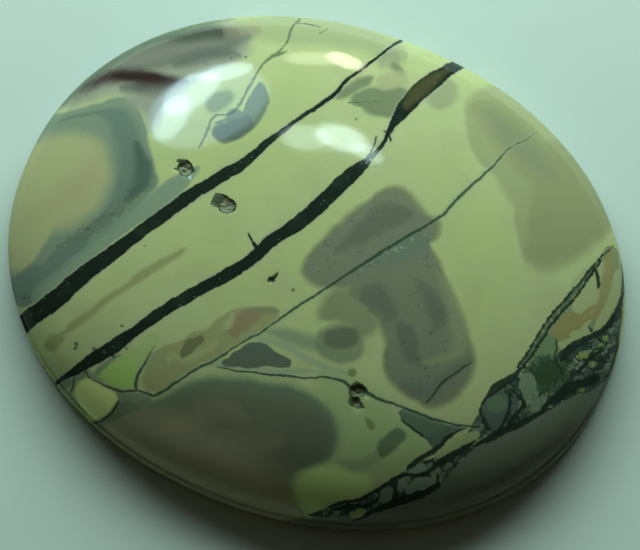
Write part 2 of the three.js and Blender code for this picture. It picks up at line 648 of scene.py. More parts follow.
streak_ground = patch([
    (66, 98), (92, 74), (130, 48), (170, 32), (214, 22), (240, 26), (250, 44), (240, 60), (212, 72),
    (186, 84), (166, 104), (152, 128), (144, 110), (128, 92), (106, 88), (88, 90)])
colour = paint(colour, MAUVE_CREAM, streak_ground, 1.6, 0.9, 0.5)
mauve_cream = nearest(
    vein([(58, 108, 1), (72, 101, 7), (86, 95, 10), (102, 91, 9), (116, 89, 7), (130, 92, 3)]),
    vein([(122, 96, 2), (136, 102, 8), (150, 103, 11), (166, 94, 12), (184, 84, 6), (198, 78, 1)]))
colour = paint(colour, MAUVE_CREAM, mauve_cream, 1.1, 0.85, 0.5)
rim_mauve = vein([
    (60, 104, 2), (80, 90, 7), (100, 77, 10), (122, 66, 13), (145, 58, 16), (170, 52, 19), (195, 47, 20),
    (218, 42, 17), (236, 38, 10), (252, 36, 1)])
colour = paint(colour, MAUVE_STREAK, rim_mauve, 1.1, 0.95, 0.6)
light_streak = vein([(112, 70, 0), (130, 62, 4), (152, 58, 6), (178, 50, 5), (204, 45, 4), (228, 42, 0)])
colour = paint(colour, LIGHT_STREAK, light_streak, 0.6, 0.85, 0.4)
rim_dark = vein([(140, 46, 0), (160, 39, 4), (182, 36, 6.5), (204, 33, 8), (222, 32, 7), (240, 32, 0)])
colour = paint(colour, RIM_DARK, rim_dark, 0.9, 0.92, 0.4)
rim_pink = vein([(222, 30, 0), (234, 32, 7), (248, 32, 7), (262, 30, 0)])
colour = paint(colour, RIM_PINK, rim_pink, 0.8, 0.6, 0.4)
rim_green = vein([
    (36, 142, 1), (56, 110, 3), (76, 90, 4), (98, 72, 4.5), (118, 58, 4.5), (140, 46, 4), (160, 38, 3.5),
    (184, 29, 4), (212, 22, 3), (236, 19, 0)])
colour = paint(colour, RIM_GREEN, rim_green, 0.5, 0.85, 0.3)
smoke = vein([(172, 66, 0), (190, 59, 6), (208, 54, 7), (226, 53, 6), (242, 56, 0)])
colour = paint(colour, SMOKE_STREAK, smoke, 0.9, 0.9, 0.4)
maroon_foot = vein([(118, 88, 0), (134, 87, 7), (150, 86, 9), (166, 85, 8), (184, 80, 0)])
colour = paint(colour, MAROON_FOOT, maroon_foot, 1.0, 0.9, 0.5)
maroon = vein([
    (78, 92, 0), (94, 82, 5), (110, 77, 7.5), (126, 76, 8.5), (142, 77, 8.5), (158, 79, 7.5), (174, 81, 5),
    (190, 81, 0)])
colour = paint(colour, MAROON, maroon, 0.75, 0.95, 0.5)
maroon_heart = vein([(110, 76, -1), (128, 76, 5), (148, 77, 5), (170, 80, -1)])
colour = paint(colour, MAROON_HEART, maroon_heart, 0.5, 0.85)
painted("far rim")

# %% [markdown]
# ## Mauve patches
#
# Iron and clay stained the ground in patches: one large and dark in the middle, one broad and faint to
# the right, and small grey ones near the top. They are crisp on one side and fade on the other, and they
# are mottled inside, so each has a core, a clouding and dark grains of its own.

# %% The faint patch on the right
RIGHT_MAUVE = tint(160, 170, 124)
RIGHT_MAUVE_DEEP = tint(149, 157, 114)
RIGHT_GREY = tint(136, 147, 118)

right_patch = patch([
    (468, 100), (465, 118), (468, 140), (478, 160), (496, 178), (509, 200), (515, 225), (521, 250),
    (530, 266), (548, 273), (570, 264), (590, 250), (606, 236), (616, 226), (606, 190), (584, 155),
    (550, 116), (515, 90), (486, 86)])
colour = paint(colour, RIGHT_MAUVE, right_patch, 0.8, 0.95, 0.3)
right_deep = nearest(
    patch([(534, 264), (527, 240), (532, 205), (536, 170), (548, 140), (580, 160), (608, 205), (604, 234),
           (588, 245), (566, 258), (548, 266)]),
    vein([(474, 102, 3), (488, 112, 16), (505, 128, 20), (525, 150, 22), (544, 180, 12)]))
colour = paint(colour, RIGHT_MAUVE_DEEP, right_deep, 1.0, 0.85, 0.9)
right_grey = vein([(484, 108, 0), (500, 122, 8), (518, 144, 11), (540, 164, 8), (560, 184, 0)])
colour = paint(colour, RIGHT_GREY, right_grey, 1.2, 0.7, 0.9)
painted("right patch")

# %% Grey patches near the top
KIDNEY_GREY = tint(94, 111, 97)
KIDNEY_LIGHT = tint(111, 130, 107)
LILAC_GREY = tint(140, 147, 122)
OLIVE_GREY = tint(112, 127, 98)
OLIVE_TAN = tint(169, 174, 133)

kidney = patch([
    (211, 132), (214, 123), (224, 119), (236, 118), (243, 112), (248, 98), (252, 86), (260, 82), (267, 90),
    (269, 102), (264, 114), (255, 127), (243, 137), (230, 142), (217, 141)])
colour = paint(colour, KIDNEY_LIGHT, kidney, 0.25, 0.95, 0.12)
kidney_heart = patch([
    (212, 132), (215, 125), (226, 121), (240, 119), (250, 116), (254, 124), (242, 135), (229, 140),
    (217, 139)])
colour = paint(colour, KIDNEY_GREY, kidney_heart, 0.35, 0.9, 0.2)
veil_grey = patch([(206, 108), (208, 98), (220, 91), (232, 92), (232, 102), (224, 109), (214, 113)])
colour = paint(colour, KIDNEY_GREY, veil_grey, 0.5, 0.6)
olive_grey = nearest(
    ragged(patch([(360, 92), (384, 88), (408, 92), (402, 106), (390, 118), (376, 116), (362, 108),
                  (350, 100)]), 0.4),
    ragged(vein([(334, 100, 0), (346, 92, 6), (360, 84, 6), (374, 76, 0)]), 0.4),
    vein([(391, 62, 0), (397, 69, 5), (402, 77, 0)]))
colour = paint(colour, OLIVE_GREY, olive_grey, 0.5, 0.85)
olive_tan = patch([(376, 84), (384, 74), (394, 70), (406, 74), (408, 84), (398, 88), (386, 90)])
colour = paint(colour, OLIVE_TAN, olive_tan, 0.4, 0.8, 0.3)
lilac = nearest(
    ragged(patch([(378, 66), (376, 56), (388, 50), (398, 52), (400, 62), (392, 68)]), 0.3),
    ragged(patch([(430, 106), (428, 90), (440, 80), (454, 82), (456, 98), (444, 108)]), 0.5))
colour = paint(colour, LILAC_GREY, lilac, 0.6, 0.6)
painted("grey patches")

# %% [markdown]
# The middle patch is the largest marking after the bands. It is laid in layers: a pale border, a firm
# edge, the flat mauve, and then a darker core, greenish casts and a lighter side, so that no part of it
# is even.

# %% The big mauve patch in the middle
MAUVE = tint(125, 134, 111)
MAUVE_EDGE = tint(118, 126, 98)
MAUVE_CORE = tint(106, 115, 99)
MAUVE_PALE = tint(148, 160, 118)
MAUVE_GREEN = tint(110, 131, 113)
TAN_STAIN = tint(132, 142, 108)
SOFT_GREY = tint(124, 142, 110)
SMOKY = tint(104, 114, 94)
TAIL_GREEN = tint(130, 151, 122)

tail = vein([(262, 332, 0), (282, 334, 7), (302, 340, 8), (322, 346, 7), (340, 350, 0)])
colour = paint(colour, TAIL_GREEN, tail, 0.7, 0.8, 0.4)
tan_stain = patch([
    (318, 310), (326, 296), (344, 284), (370, 290), (384, 306), (380, 326), (366, 336), (350, 326),
    (334, 322), (322, 320)])
colour = paint(colour, TAN_STAIN, tan_stain, 0.9, 0.9, 0.6)
mauve_upper = patch([
    (304, 276), (304, 262), (313, 248), (326, 235), (342, 220), (360, 205), (378, 192), (392, 186),
    (406, 189), (416, 200), (428, 214), (440, 224), (420, 246), (396, 260), (372, 272), (352, 288),
    (334, 288), (318, 286)])
mauve_lower = patch([
    (330, 288), (352, 272), (384, 254), (416, 232), (430, 246), (441, 264), (450, 286), (459, 306),
    (466, 326), (473, 346), (475, 362), (471, 378), (462, 391), (449, 403), (434, 408), (417, 402),
    (400, 391), (386, 376), (383, 356), (384, 338), (376, 320), (364, 304), (346, 294)])
mauve_shape = nearest(mauve_upper, mauve_lower)
crisp_mauve = ragged(mauve_shape, 0.22)
colour = paint(colour, MAUVE_PALE, sum_of("SUBTRACT", crisp_mauve, 0.12), 0.4, 0.8)
colour = paint(colour, MAUVE_EDGE, sum_of("ADD", crisp_mauve, 0.12), 0.5, 0.8)
colour = paint(colour, MAUVE, sum_of("ADD", crisp_mauve, 0.38), 0.5, 0.95)
pale_side = vein([
    (436, 268, 0), (450, 296, 8), (458, 324, 9), (460, 346, 9), (444, 358, 8), (424, 364, 5),
    (412, 362, 0)])
colour = paint(colour, MAUVE_PALE, pale_side, 0.8, 0.6, 0.5)
mauve_core = nearest(
    vein([(334, 252, 0), (352, 240, 7), (370, 228, 12), (388, 216, 14), (402, 212, 11), (414, 212, 0)]),
    ragged(patch([(362, 296), (370, 284), (386, 288), (396, 306), (392, 322), (378, 314)]), 0.6),
    ragged(vein([(398, 322, 0), (408, 340, 9), (414, 356, 8), (420, 368, 0)]), 0.5),
    ragged(vein([(414, 278, 0), (430, 296, 9), (438, 318, 10), (432, 334, 0)]), 0.6))
colour = paint(colour, MAUVE_CORE, mauve_core, 0.7, 0.85, 0.7)
green_cast = nearest(
    vein([(350, 274, 0), (376, 262, 6), (400, 250, 13), (420, 242, 13), (432, 246, 0)]),
    vein([(398, 376, 0), (416, 384, 8), (432, 386, 9), (446, 380, 0)]))
colour = paint(colour, MAUVE_GREEN, green_cast, 0.7, 0.75, 0.6)
low_core = nearest(
    vein([(422, 404, 0), (432, 392, 5), (446, 378, 6), (460, 367, 5), (474, 358, 0)]),
    vein([(398, 384, 0), (414, 392, 6), (428, 396, 0)]))
colour = paint(colour, MAUVE_CORE, low_core, 0.6, 0.5, 0.3)
soft_grey = patch([
    (316, 348), (318, 334), (328, 326), (344, 324), (358, 329), (364, 342), (362, 354), (350, 362),
    (334, 363), (322, 358)])
colour = paint(colour, SOFT_GREY, soft_grey, 0.5, 0.85, 0.3)
smoky = patch([
    (324, 340), (326, 332), (338, 328), (352, 329), (358, 336), (354, 345), (342, 349), (330, 347)])
colour = paint(colour, SMOKY, smoky, 0.45, 0.9, 0.3)
painted("middle patch")

# %% Dark and light grains in the mauve
GRAIN_DARK = tint(84, 94, 80)
GRAIN_LIGHT = tint(160, 174, 146)

streaky = cloud(2.6, 3, 0.62, 0.6)
in_mauve = step_inside(sum_of("ADD", mauve_shape, 0.35), 0.5)
grain_dark = sum_of("MULTIPLY", step_inside(sum_of("SUBTRACT", 0.145, streaky), 0.05, 0.6), in_mauve)
colour = lay_over(colour, GRAIN_DARK, grain_dark)
near_vein = vein([(352, 276, 2), (376, 262, 5), (400, 248, 7), (424, 234, 3)])
pale_grains = sum_of("ADD", sum_of("MULTIPLY_ADD", cloud(4.2, 2, 0.5), 2.6, near_vein), 0.55)
colour = paint(colour, GRAIN_LIGHT, pale_grains, 0.14, 0.6)
painted("grains")

# %% [markdown]
# ## Stains between the bands
#
# A tan streak runs between the two bands, and below the lower one there is a pinkish brown blot with a
# darker heart. Pale tissue lines the slate wedge beside it.

# %% Tan streak, brown blot, slate wedge
TAN = tint(152, 158, 108)
TAN_BLOT = tint(156, 161, 113)
PINK_BROWN = tint(150, 138, 104)
BLOT_GREY = tint(140, 146, 110)
BROWN_HEART = tint(116, 120, 84)
SLATE = tint(92, 107, 94)
TISSUE = tint(152, 174, 143)

tan_streak = nearest(
    vein([(188, 247, 0), (176, 255, 3.2), (160, 264, 3.8), (143, 275, 4.4), (126, 287, 3.6),
          (108, 299, 3.8), (92, 312, 4), (78, 322, 4.4), (66, 331, 2), (60, 336, 0)]),
    patch([(44, 348), (46, 340), (56, 334), (63, 337), (60, 345), (50, 351)]))
colour = paint(colour, TAN, tan_streak, 0.35, 0.9, 0.25)
blot = patch([
    (146, 388), (144, 372), (152, 354), (166, 345), (186, 338), (204, 330), (218, 318), (232, 310),
    (250, 307), (266, 307), (279, 311), (276, 319), (262, 330), (246, 340), (228, 350), (208, 362),
    (186, 374), (166, 388), (154, 393)])
colour = paint(colour, TAN_BLOT, blot, 0.4, 0.92, 0.25)
blot_grey = vein([(240, 316, 0), (252, 311, 4), (266, 310, 4), (280, 312, 0)])
colour = paint(colour, BLOT_GREY, blot_grey, 0.3, 0.9, 0.2)
pink_brown = ragged(patch([
    (227, 333), (232, 322), (238, 314), (250, 311), (260, 314), (254, 324), (244, 332), (234, 338)]), 0.4)
colour = paint(colour, PINK_BROWN, pink_brown, 0.5, 0.85)
pale_notch = vein([(222, 330, 0), (229, 324, 4), (232, 317, 3), (230, 311, 0)])
colour = paint(colour, CREAM, pale_notch, 0.4, 0.5, 0.3)
pale_loop = vein([(168, 366, 0), (172, 356, 4), (180, 358, 5), (196, 355, 4), (210, 347, 3), (220, 340, 0)])
colour = paint(colour, CREAM, pale_loop, 0.5, 0.4, 0.4)
brown_heart = patch([
    (180, 352), (184, 344), (194, 338), (203, 337), (203, 342), (196, 349), (188, 355), (181, 357)])
colour = paint(colour, BROWN_HEART, brown_heart, 0.25, 0.9, 0.15)
tissue = nearest(
    vein([(238, 340, 0), (256, 337, 3), (276, 343, 3), (296, 352, 3.5), (318, 364, 3.5), (342, 372, 2),
          (356, 376, 0)]),
    vein([(200, 367, 0), (222, 364, 3), (252, 368, 3), (284, 371, 3), (312, 371, 2), (336, 374, 0)]))
colour = paint(colour, TISSUE, tissue, 0.35, 0.75)
slate = patch([
    (254, 342), (240, 349), (228, 358), (222, 364), (240, 366), (262, 367), (284, 368), (291, 365),
    (284, 356), (270, 347)])
colour = paint(colour, SLATE, slate, 0.18, 0.95, 0.1)
painted("streak, blot and wedge")

# %% [markdown]
# At the left tip the veins close small cells, each filled with a colour of its own: lime, lemon, grey and
# mauve.

# %% Cells at the left tip
LIME = tint(168, 207, 114)
LIME_PALE = tint(168, 196, 124)
LEMON_CELL = tint(240, 252, 166)
CELL_GREY = tint(124, 145, 116)
CELL_MAUVE = tint(113, 125, 108)

lime_pale = patch([
    (98, 378), (106, 362), (124, 352), (142, 342), (156, 334), (158, 344), (148, 358), (140, 370),
    (136, 388), (118, 389), (106, 386)])
colour = paint(colour, LIME_PALE, lime_pale, 0.4, 0.8, 0.3)
tip_grey = nearest(
    vein([(58, 388, 2), (70, 380, 7), (82, 373, 6), (94, 377, 3), (106, 384, 0)]),
    vein([(94, 376, 0), (102, 368, 3.5), (112, 359, 2.5), (122, 354, 0)]),
    patch([(116, 392), (136, 393), (152, 397), (146, 402), (130, 403), (120, 400)]))
colour = paint(colour, CELL_GREY, tip_grey, 0.3, 0.85, 0.2)
green_cell = patch([
    (103, 377), (109, 367), (120, 362), (134, 360), (137, 368), (135, 386), (118, 386), (108, 383)])
colour = paint(colour, LIME, green_cell, 0.35, 0.95)
lemon_cell = patch([
    (76, 388), (84, 380), (98, 381), (109, 388), (117, 399), (112, 409), (104, 417), (93, 421), (82, 410),
    (76, 399)])
colour = paint(colour, LEMON_CELL, lemon_cell, 0.3, 0.95)
cell_mauve = patch([
    (104, 420), (112, 411), (120, 401), (134, 403), (152, 400), (146, 406), (130, 410), (116, 419),
    (104, 427)])
colour = paint(colour, CELL_MAUVE, cell_mauve, 0.3, 0.9)
painted("left tip")

# %% [markdown]
# ## The dark near side
#
# Two mauve stains fill the near side: one with a green-grey border that grows buff towards the rim, and a
# smoky one beyond the broken zone with a maroon streak along the rim. A bright lemon patch lies between
# them. Along the edge of the near rim, a buff band is a painted reflection of the light that the girdle
# throws back.

# %% Near stain and lemon patch
BORDER_SOFT = tint(140, 163, 121)
BORDER_GREEN = tint(107, 127, 103)
STAIN_MAUVE = tint(112, 119, 97)
STAIN_ROSE = tint(130, 131, 105)
STAIN_GREY = tint(105, 116, 96)
STAIN_BUFF = tint(178, 175, 142)
NEAR_LEMON = tint(204, 236, 150)
OVAL_GREEN = tint(102, 124, 94)
SMUDGE = tint(122, 138, 88)

stain = patch([
    (96, 430), (110, 420), (132, 410), (152, 402), (170, 393), (188, 384), (210, 378), (236, 379),
    (264, 383), (290, 387), (312, 396), (328, 410), (336, 426), (337, 442), (330, 456), (318, 466),
    (304, 474), (296, 488), (296, 504), (300, 536), (240, 550), (170, 524), (110, 484), (86, 452)])
colour = paint(colour, BORDER_SOFT, sum_of("SUBTRACT", ragged(stain, 0.3), 0.3), 1.1, 0.85)
colour = paint(colour, BORDER_GREEN, stain, 0.7, 0.95, 0.25)
colour = paint(colour, STAIN_MAUVE, sum_of("ADD", ragged(stain, 0.7), 1.0), 1.7, 0.95)
stain_rose = nearest(
    vein([(160, 434, 0), (190, 420, 12), (214, 412, 13), (236, 414, 10), (252, 420, 0)]),
    vein([(206, 446, 0), (236, 442, 14), (266, 446, 12), (286, 440, 0)]))
colour = paint(colour, STAIN_ROSE, stain_rose, 1.2, 0.85, 1.2)
stain_grey = patch([
    (290, 420), (308, 414), (326, 422), (332, 438), (324, 454), (308, 466), (294, 462), (288, 442)])
colour = paint(colour, STAIN_GREY, stain_grey, 1.0, 0.85, 0.8)
stain_buff = beyond([(310, 500), (270, 468), (230, 446), (190, 426), (160, 415), (134, 408), (110, 405)])
in_stain = step_inside(sum_of("ADD", stain, 0.2), 0.6)
buff_mask = sum_of("MULTIPLY", step_inside(ragged(stain_buff, 0.8), 3.0, 0.9), in_stain)
colour = lay_over(colour, STAIN_BUFF, buff_mask)
near_lemon = patch([
    (293, 488), (300, 474), (316, 467), (336, 468), (358, 474), (372, 482), (366, 494), (348, 500),
    (330, 502), (314, 512), (300, 504)])
colour = paint(colour, NEAR_LEMON, near_lemon, 0.9, 0.92, 0.3)
grey_oval = patch([
    (379, 455), (377, 447), (383, 438), (391, 431), (399, 428), (405, 432), (405, 439), (397, 447),
    (388, 455), (382, 458)])
oval_tail = vein([(384, 452, 2), (372, 460, 6), (358, 465, 6), (344, 464, 4), (334, 460, 0)])
colour = paint(colour, BORDER_SOFT, oval_tail, 0.7, 0.8, 0.4)
colour = paint(colour, OVAL_GREEN, grey_oval, 0.35, 0.92, 0.15)
smudge = nearest(
    patch([(366, 418), (370, 420), (374, 424), (373, 430), (369, 429), (366, 424)]),
    patch([(348, 374), (350, 369), (355, 369), (356, 374), (352, 377)]))
colour = paint(colour, SMUDGE, smudge, 0.2, 0.85, 0.1)
painted("near stain")

# %% Smoky stain beyond the broken zone, and a painted reflection on the rim
SMOKE_GREEN = tint(117, 131, 112)
SMOKE_MAROON = tint(110, 107, 96)
RIM_REFLECTION_BUFF = tint(132, 130, 105)

zone_foot = beyond([
    (640, 340), (622, 356), (606, 368), (590, 378), (571, 390), (550, 398), (530, 408), (504, 424),
    (470, 446), (442, 468), (412, 490), (380, 506), (350, 512), (300, 520)])
colour = paint(colour, SMOKE_GREEN, zone_foot, 0.3, 0.97)
smoke_maroon = vein([
    (600, 408, 0), (575, 430, 8), (548, 452, 9), (520, 472, 9), (488, 491, 9), (450, 507, 9), (400, 519, 9),
    (350, 523, 7), (310, 524, 0)])
colour = paint(colour, SMOKE_MAROON, smoke_maroon, 1.0, 0.85, 0.6)
# painted reflection: a buff band along the edge of the near rim, for the light that the girdle throws back
rim_reflection_buff = vein([
    (636, 372, 3), (612, 408, 7), (584, 440, 7), (552, 468, 6), (510, 496, 5), (460, 518, 5),
    (400, 530, 5)])
colour = paint(colour, RIM_REFLECTION_BUFF, rim_reflection_buff, 0.7, 0.7, 0.4)
painted("smoky stain")

# %% [markdown]
# ## The broken zone
#
# Along the right and the near side the stone was crushed and healed. Chips of cream, green and orange lie
# in a black and slate cement. Voronoi cells, stretched along the zone, give the small chips and the
# cracks between them, and the large chips that catch the eye are drawn one by one.

# %% Small chips in dark cement
CEMENT = tint(40, 56, 48)
CEMENT_BLUE = tint(62, 78, 72)
CHIP_COLOURS = [(0.00, tint(58, 77, 64)), (0.28, tint(92, 114, 92)), (0.46, tint(118, 138, 114)),
                (0.60, tint(68, 88, 76)), (0.76, tint(134, 154, 126)), (0.88, tint(104, 124, 106)),
                (0.975, tint(156, 174, 102))]
CHIPS_PER_MM = 2.5
CHIP_STRETCH = 0.6
CRACK = 0.055
CRUMPLE = 0.75


def ramp(value, stops):
    """Flat steps of colour along a value from 0 to 1."""
    made = node("ValToRGB", value)
    made.color_ramp.interpolation = "CONSTANT"
    for _ in stops[2:]:
        made.color_ramp.elements.new(0.5)
    for element, (position, shade) in zip(made.color_ramp.elements, stops):
        element.position = position
        element.color = shade
    return made.outputs[0]


zone = vein([
    (630, 250, 0), (624, 276, 5), (620, 300, 7), (612, 326, 16), (596, 350, 28), (574, 362, 36),
    (558, 374, 30), (538, 390, 25), (510, 406, 22), (484, 428, 13), (466, 446, 8), (444, 464, 12),
    (420, 480, 17), (398, 492, 15), (372, 503, 10), (346, 510, 8), (322, 514, 4), (306, 516, 0)])
zone_lean = (on_map(420, 480) - on_map(590, 340)).normalized()
crumple = vector_sum(chart, drift(1.6, 4, CRUMPLE))
chip_map = node("CombineXYZ", dot(crumple, (zone_lean.x * CHIP_STRETCH, zone_lean.y * CHIP_STRETCH, 0)),
                dot(crumple, (-zone_lean.y, zone_lean.x, 0)), 0.0).outputs[0]
chip = node("TexVoronoi", chip_map, None, CHIPS_PER_MM, voronoi_dimensions="2D", feature="F1")
chip_shade = ramp(node("SeparateColor", chip.outputs["Color"]).outputs[0], CHIP_COLOURS)
chip_shade = paint(chip_shade, CEMENT_BLUE, sum_of("ADD", fine, 0.04), 0.12, 0.6)
crack = node("TexVoronoi", chip_map, None, CHIPS_PER_MM, voronoi_dimensions="2D",
             feature="DISTANCE_TO_EDGE").outputs["Distance"]
crack = sum_of("SUBTRACT", sum_of("MULTIPLY_ADD", middling, -0.25, crack), CRACK)
chips = paint(chip_shade, CEMENT, crack, 0.05)
colour = paint(colour, chips, zone, 0.12, 1.0, 0.35)
painted("small chips")

# %% [markdown]
# The large chips follow, each a closed patch with a crisp edge in its own colour, and after them the dark
# lines of cement that part them.

# %% Large chips
CHIP_CREAM = tint(172, 184, 134)
CHIP_YELLOW = tint(170, 186, 130)
CHIP_ORANGE = tint(154, 148, 94)
CHIP_PINK = tint(152, 149, 101)
CHIP_GREYGREEN = tint(138, 152, 110)
CHIP_GREEN = tint(114, 144, 104)
CHIP_SLATE = tint(94, 121, 98)
CHIP_BLUE = tint(88, 108, 98)
CHIP_PALE = tint(126, 150, 120)
CHIP_WHITE = tint(142, 167, 142)
MOSS = tint(58, 84, 56)
MOSS_MID = tint(84, 112, 84)
CHIP_EDGE = 0.10

upper_chips = patch([
    (612, 246), (619, 262), (621, 290), (617, 308), (608, 324), (594, 333), (578, 341), (562, 350),
    (546, 360), (530, 366), (534, 348), (548, 326), (564, 306), (580, 286), (592, 270), (600, 257)])
colour = paint(colour, CHIP_GREYGREEN, upper_chips, CHIP_EDGE, 1.0, 0.1)
cream_chip = patch([
    (614, 250), (619, 268), (620, 292), (615, 310), (606, 322), (594, 332), (586, 326), (594, 318),
    (604, 302), (610, 280), (612, 262)])
colour = paint(colour, CHIP_CREAM, cream_chip, 0.25, 0.95, 0.1)
pink_chip = vein([(611, 248, 0), (609, 262, 5), (607, 282, 6), (603, 298, 5), (598, 310, 4), (590, 320, 0)])
colour = paint(colour, CHIP_PINK, pink_chip, 0.35, 0.9, 0.2)
orange_chip = patch([
    (556, 338), (557, 325), (563, 317), (572, 312), (581, 314), (589, 314), (597, 306), (600, 311),
    (596, 318), (586, 322), (577, 330), (566, 338)])
colour = paint(colour, CHIP_ORANGE, orange_chip, 0.25, 0.92, 0.1)
yellow_chip = patch([
    (558, 347), (560, 341), (570, 337), (579, 330), (586, 324), (591, 330), (592, 335), (582, 340),
    (571, 344), (563, 349)])
colour = paint(colour, CHIP_YELLOW, yellow_chip, 0.14, 0.92, 0.1)
green_chip = patch([
    (528, 362), (532, 350), (540, 342), (552, 336), (557, 344), (556, 356), (548, 362), (538, 368)])
colour = paint(colour, CHIP_GREEN, green_chip, 0.25, 0.9, 0.25)
moss = patch([
    (522, 374), (530, 362), (542, 356), (554, 356), (566, 364), (570, 374), (560, 386), (548, 394),
    (536, 392), (526, 386)])
colour = paint(colour, MOSS_MID, frayed(moss, 0.8), 0.25, 0.9)
moss_depth = sum_of("ADD", frayed(moss, 2.6), 0.25)
colour = paint(colour, MOSS, moss_depth, 0.4, 0.9)
pale_chips = nearest(
    patch([(520, 381), (526, 373), (533, 375), (537, 385), (534, 395), (527, 400), (522, 392)]),
    patch([(530, 405), (537, 399), (547, 396), (545, 404), (538, 412), (531, 412)]),
    patch([(428, 470), (431, 465), (437, 466), (441, 472), (438, 475), (431, 474)]))
colour = paint(colour, CHIP_PALE, frayed(pale_chips, 0.3), 0.12, 0.92)
grey_chips = nearest(
    patch([(485, 408), (488, 399), (496, 393), (504, 396), (508, 404), (507, 414), (502, 424), (496, 430),
           (490, 426), (486, 417)]),
    patch([(509, 412), (510, 401), (515, 398), (519, 403), (516, 410), (512, 415)]))
colour = paint(colour, CHIP_BLUE, grey_chips, CHIP_EDGE, 0.97, 0.06)
clast_top = patch([(487, 406), (490, 398), (497, 394), (504, 398), (506, 405), (500, 411), (491, 412)])
colour = paint(colour, CHIP_GREEN, clast_top, 0.35, 0.55, 0.3)
wedge = patch([
    (399, 412), (411, 409), (421, 414), (431, 418), (441, 423), (456, 426), (463, 428), (455, 431),
    (449, 436), (443, 443), (437, 449), (430, 445), (424, 438), (414, 430), (405, 422), (400, 417)])
colour = paint(colour, CHIP_SLATE, wedge, 0.12, 0.97, 0.06)
wedge_blue = vein([(424, 432, 0), (432, 440, 5), (440, 438, 6), (450, 430, 3), (458, 427, 0)])
colour = paint(colour, CHIP_BLUE, wedge_blue, 0.4, 0.8)
lemon_chips = nearest(
    patch([(437, 458), (440, 450), (448, 443), (456, 437), (468, 433), (479, 432), (474, 440), (462, 447),
           (450, 453)]),
    patch([(457, 432), (460, 429), (466, 428), (466, 431), (461, 433)]),
    patch([(350, 516), (356, 511), (366, 510), (367, 514), (358, 518)]))
colour = paint(colour, CHIP_YELLOW, frayed(lemon_chips, 0.2), 0.12, 0.9)
tail_chips = nearest(
    patch([(397, 488), (398, 480), (403, 478), (406, 482), (404, 489), (400, 492)]),
    patch([(405, 491), (412, 483), (426, 478), (440, 476), (443, 479), (432, 485), (420, 490), (411, 494)]),
    patch([(379, 502), (383, 491), (390, 487), (394, 490), (394, 499), (386, 503)]),
    patch([(405, 474), (414, 468), (425, 465), (427, 469), (418, 473), (409, 477)]))
colour = paint(colour, CHIP_WHITE, frayed(tail_chips, 0.2), 0.12, 0.85)
bright_bits = specks([
    (585, 355, 3.4), (593, 364, 2.4), (601, 345, 2.6), (526, 403, 2.6), (606, 338, 3.0), (597, 352, 2.0)])
colour = paint(colour, CHIP_COLOURS[-1][1], frayed(bright_bits, 0.5), 0.12, 0.8)
painted("large chips")

# %% Cement lines round the large chips
VEIN_GREEN = tint(82, 107, 84)

